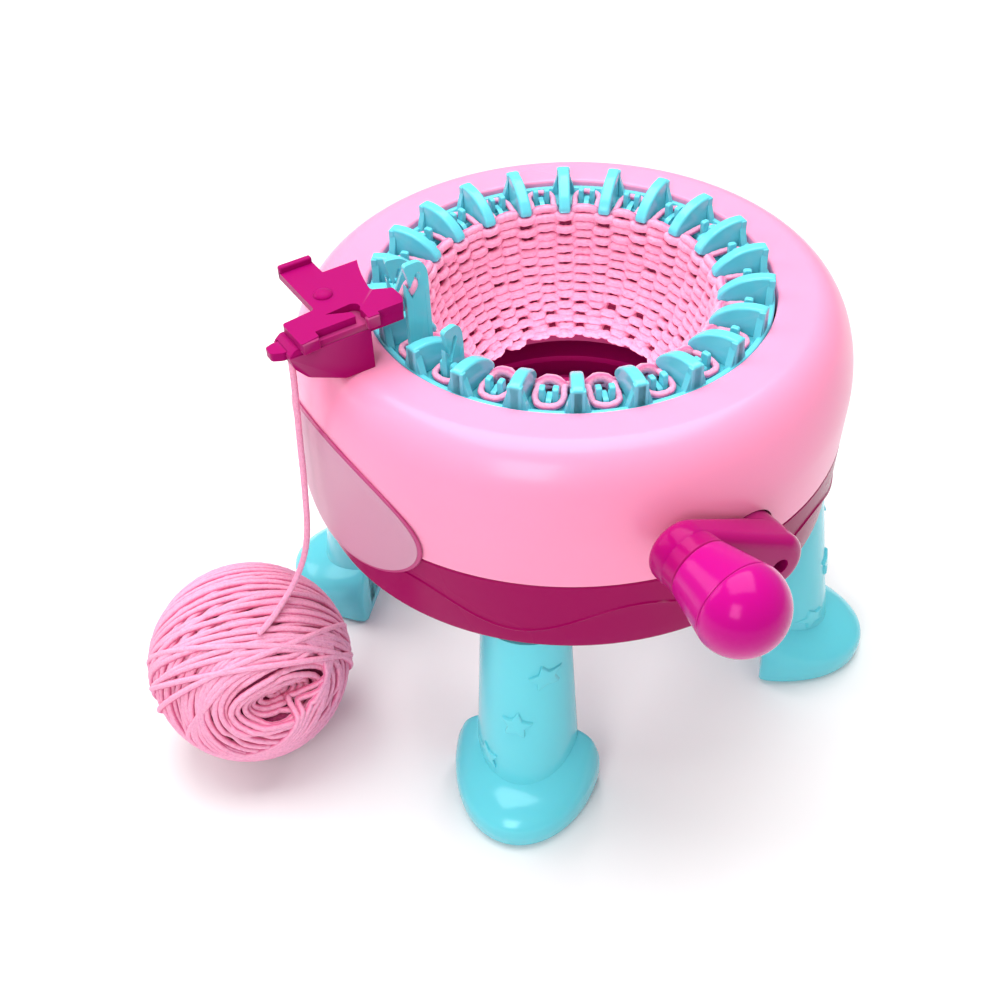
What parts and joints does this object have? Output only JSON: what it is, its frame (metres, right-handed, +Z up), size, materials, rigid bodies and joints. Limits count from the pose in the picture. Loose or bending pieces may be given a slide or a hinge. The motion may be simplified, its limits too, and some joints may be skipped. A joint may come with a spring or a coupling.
{
  "type": "circular knitting machine",
  "caption": "Hand-cranked circular knitting machine on legs, with a rotating needle drum, a yarn feeder, a tube of knitted fabric and a ball of yarn.",
  "frame": {"origin": "on the knitting axis, at floor level under the four feet", "axes": "+Z up along the knitting axis; +X along the crank shaft, out of the body; -Y towards the yarn feeder"},
  "size_m": [0.272, 0.302, 0.216],
  "materials": {
    "pink_plastic": "glossy moulded plastic",
    "magenta_plastic": "glossy moulded plastic",
    "teal_plastic": "glossy moulded plastic",
    "feeder_plastic": "satin moulded plastic",
    "crank_plastic": "glossy moulded plastic",
    "knob_plastic": "glossy moulded plastic",
    "label_plastic": "satin printed plate, blank",
    "white_plastic": "matte moulded plastic",
    "lilac_plastic": "matte moulded plastic",
    "brass": "turned",
    "steel": "zinc plated",
    "yarn": "spun acrylic yarn, slightly fuzzy"
  },
  "bodies": {
    "chassis": {"top_cover": "pink_plastic", "base_tray": "magenta_plastic", "leg_front": "teal_plastic", "leg_right": "teal_plastic", "leg_back": "teal_plastic", "leg_left": "teal_plastic", "leg_screws": "steel", "cover_screws": "steel", "label_plate": "label_plastic", "cam_ring": "magenta_plastic", "cam_screws": "steel", "shaft_bracket": "lilac_plastic", "bracket_screws": "steel", "outer_bushing": "brass", "inner_bushing": "brass", "feeder_block": "feeder_plastic", "feeder_plate": "feeder_plastic", "feeder_screws": "steel", "yarn_strand": "yarn", "yarn_ball": "yarn"},
    "drum": {"needle_bed": "teal_plastic", "crown_ring": "teal_plastic", "crown_fins": "teal_plastic", "ring_gear": "magenta_plastic", "drum_screws": "steel", "knit_tube": "yarn"},
    "crank": {"crank_shaft": "steel", "pinion": "white_plastic", "pinion_pin": "steel", "crank_arm": "crank_plastic", "crank_screw": "steel", "knob_pin": "steel"},
    "knob": {"knob_grip": "knob_plastic", "knob_cap": "knob_plastic"},
    "latch": {"feeder_latch": "feeder_plastic"},
    "needle_01": {"needle_01": "teal_plastic"},
    "needle_02": {"needle_02": "teal_plastic"},
    "needle_03": {"needle_03": "teal_plastic"},
    "needle_04": {"needle_04": "teal_plastic"},
    "needle_05": {"needle_05": "teal_plastic"},
    "needle_06": {"needle_06": "teal_plastic"},
    "needle_07": {"needle_07": "teal_plastic"},
    "needle_08": {"needle_08": "teal_plastic"},
    "needle_09": {"needle_09": "teal_plastic"},
    "needle_10": {"needle_10": "teal_plastic"},
    "needle_11": {"needle_11": "teal_plastic"},
    "needle_12": {"needle_12": "teal_plastic"},
    "needle_13": {"needle_13": "teal_plastic"},
    "needle_14": {"needle_14": "teal_plastic"},
    "needle_15": {"needle_15": "teal_plastic"},
    "needle_16": {"needle_16": "teal_plastic"},
    "needle_17": {"needle_17": "teal_plastic"},
    "needle_18": {"needle_18": "teal_plastic"},
    "needle_19": {"needle_19": "teal_plastic"},
    "needle_20": {"needle_20": "teal_plastic"},
    "needle_21": {"needle_21": "teal_plastic"},
    "needle_22": {"needle_22": "teal_plastic"}
  },
  "joints": [
    {"name": "drum_spin", "type": "hinge", "parent": "chassis", "child": "drum", "pos_m": [0, 0, 0.15], "axis": [0, 0, 1], "continuous": true},
    {"name": "crank_spin", "type": "hinge", "parent": "chassis", "child": "crank", "pos_m": [0.1, 0, 0.1345], "axis": [1, 0, 0], "continuous": true},
    {"name": "knob_spin", "type": "hinge", "parent": "crank", "child": "knob", "pos_m": [0.135, -0.03564, 0.15266], "axis": [1, 0, 0], "continuous": true},
    {"name": "latch_slide", "type": "slide", "parent": "chassis", "child": "latch", "axis": [0, -1, 0], "range_m": [0, 0.003]},
    {"name": "needle_01_slide", "type": "slide", "parent": "drum", "child": "needle_01", "axis": [0, 0, 1], "range_m": [0, 0.036]},
    {"name": "needle_02_slide", "type": "slide", "parent": "drum", "child": "needle_02", "axis": [0, 0, 1], "range_m": [0, 0.036]},
    {"name": "needle_03_slide", "type": "slide", "parent": "drum", "child": "needle_03", "axis": [0, 0, 1], "range_m": [0, 0.036]},
    {"name": "needle_04_slide", "type": "slide", "parent": "drum", "child": "needle_04", "axis": [0, 0, 1], "range_m": [0, 0.036]},
    {"name": "needle_05_slide", "type": "slide", "parent": "drum", "child": "needle_05", "axis": [0, 0, 1], "range_m": [0, 0.036]},
    {"name": "needle_06_slide", "type": "slide", "parent": "drum", "child": "needle_06", "axis": [0, 0, 1], "range_m": [0, 0.036]},
    {"name": "needle_07_slide", "type": "slide", "parent": "drum", "child": "needle_07", "axis": [0, 0, 1], "range_m": [0, 0.036]},
    {"name": "needle_08_slide", "type": "slide", "parent": "drum", "child": "needle_08", "axis": [0, 0, 1], "range_m": [0, 0.036]},
    {"name": "needle_09_slide", "type": "slide", "parent": "drum", "child": "needle_09", "axis": [0, 0, 1], "range_m": [0, 0.036]},
    {"name": "needle_10_slide", "type": "slide", "parent": "drum", "child": "needle_10", "axis": [0, 0, 1], "range_m": [0, 0.036]},
    {"name": "needle_11_slide", "type": "slide", "parent": "drum", "child": "needle_11", "axis": [0, 0, 1], "range_m": [0, 0.036]},
    {"name": "needle_12_slide", "type": "slide", "parent": "drum", "child": "needle_12", "axis": [0, 0, 1], "range_m": [0, 0.036]},
    {"name": "needle_13_slide", "type": "slide", "parent": "drum", "child": "needle_13", "axis": [0, 0, 1], "range_m": [0, 0.036]},
    {"name": "needle_14_slide", "type": "slide", "parent": "drum", "child": "needle_14", "axis": [0, 0, 1], "range_m": [0, 0.036]},
    {"name": "needle_15_slide", "type": "slide", "parent": "drum", "child": "needle_15", "axis": [0, 0, 1], "range_m": [-0.0156, 0.0204]},
    {"name": "needle_16_slide", "type": "slide", "parent": "drum", "child": "needle_16", "axis": [0, 0, 1], "range_m": [-0.027, 0.009]},
    {"name": "needle_17_slide", "type": "slide", "parent": "drum", "child": "needle_17", "axis": [0, 0, 1], "range_m": [-0.036, 0]},
    {"name": "needle_18_slide", "type": "slide", "parent": "drum", "child": "needle_18", "axis": [0, 0, 1], "range_m": [-0.0186, 0.0174]},
    {"name": "needle_19_slide", "type": "slide", "parent": "drum", "child": "needle_19", "axis": [0, 0, 1], "range_m": [0, 0.036]},
    {"name": "needle_20_slide", "type": "slide", "parent": "drum", "child": "needle_20", "axis": [0, 0, 1], "range_m": [0, 0.036]},
    {"name": "needle_21_slide", "type": "slide", "parent": "drum", "child": "needle_21", "axis": [0, 0, 1], "range_m": [0, 0.036]},
    {"name": "needle_22_slide", "type": "slide", "parent": "drum", "child": "needle_22", "axis": [0, 0, 1], "range_m": [0, 0.036]}
  ],
  "couplings": [
    {"joint": "crank_spin", "follows": "drum_spin", "ratio": 5.5}
  ]
}
